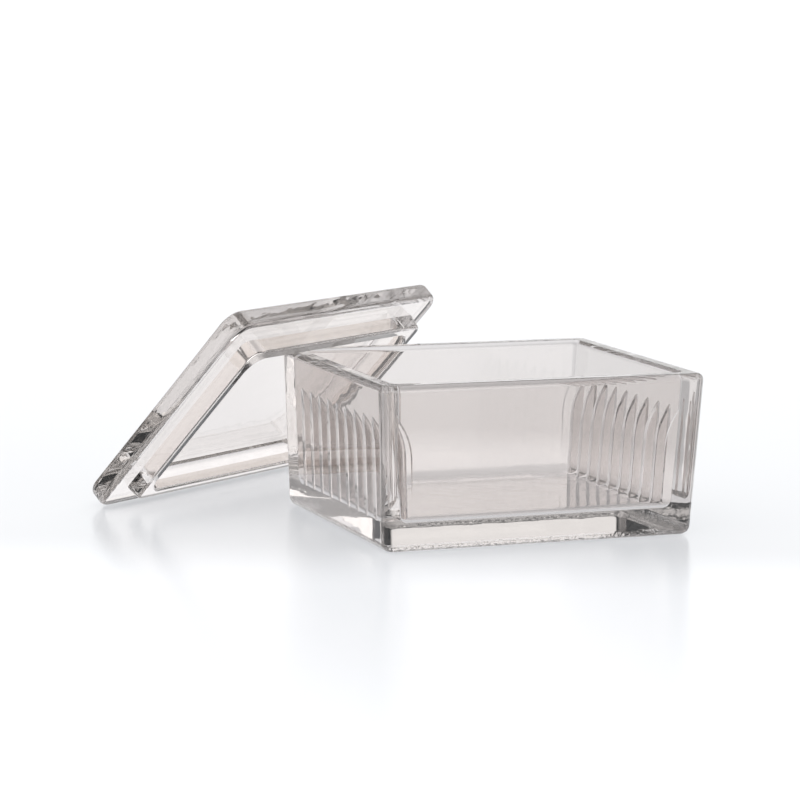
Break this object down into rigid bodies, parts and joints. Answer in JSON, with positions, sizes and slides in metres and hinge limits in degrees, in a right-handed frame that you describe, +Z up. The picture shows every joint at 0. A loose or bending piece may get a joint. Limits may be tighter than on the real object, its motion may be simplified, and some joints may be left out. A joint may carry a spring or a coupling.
{
  "type": "slide staining jar",
  "caption": "Rectangular pressed-glass staining dish with rows of upright ribs that hold microscope slides on edge, and its loose glass lid leaning on one rim corner.",
  "frame": {"origin": "middle of the dish's flat underside, on the surface it stands on", "axes": "+X along the dish's long side, +Y towards the side the lid stands at, +Z up"},
  "size_m": [0.1403, 0.1314, 0.0568],
  "materials": {
    "jar_glass": "gloss",
    "lid_glass": "gloss"
  },
  "bodies": {
    "root": {"jar": "jar_glass", "lid": "lid_glass"}
  },
  "joints": []
}
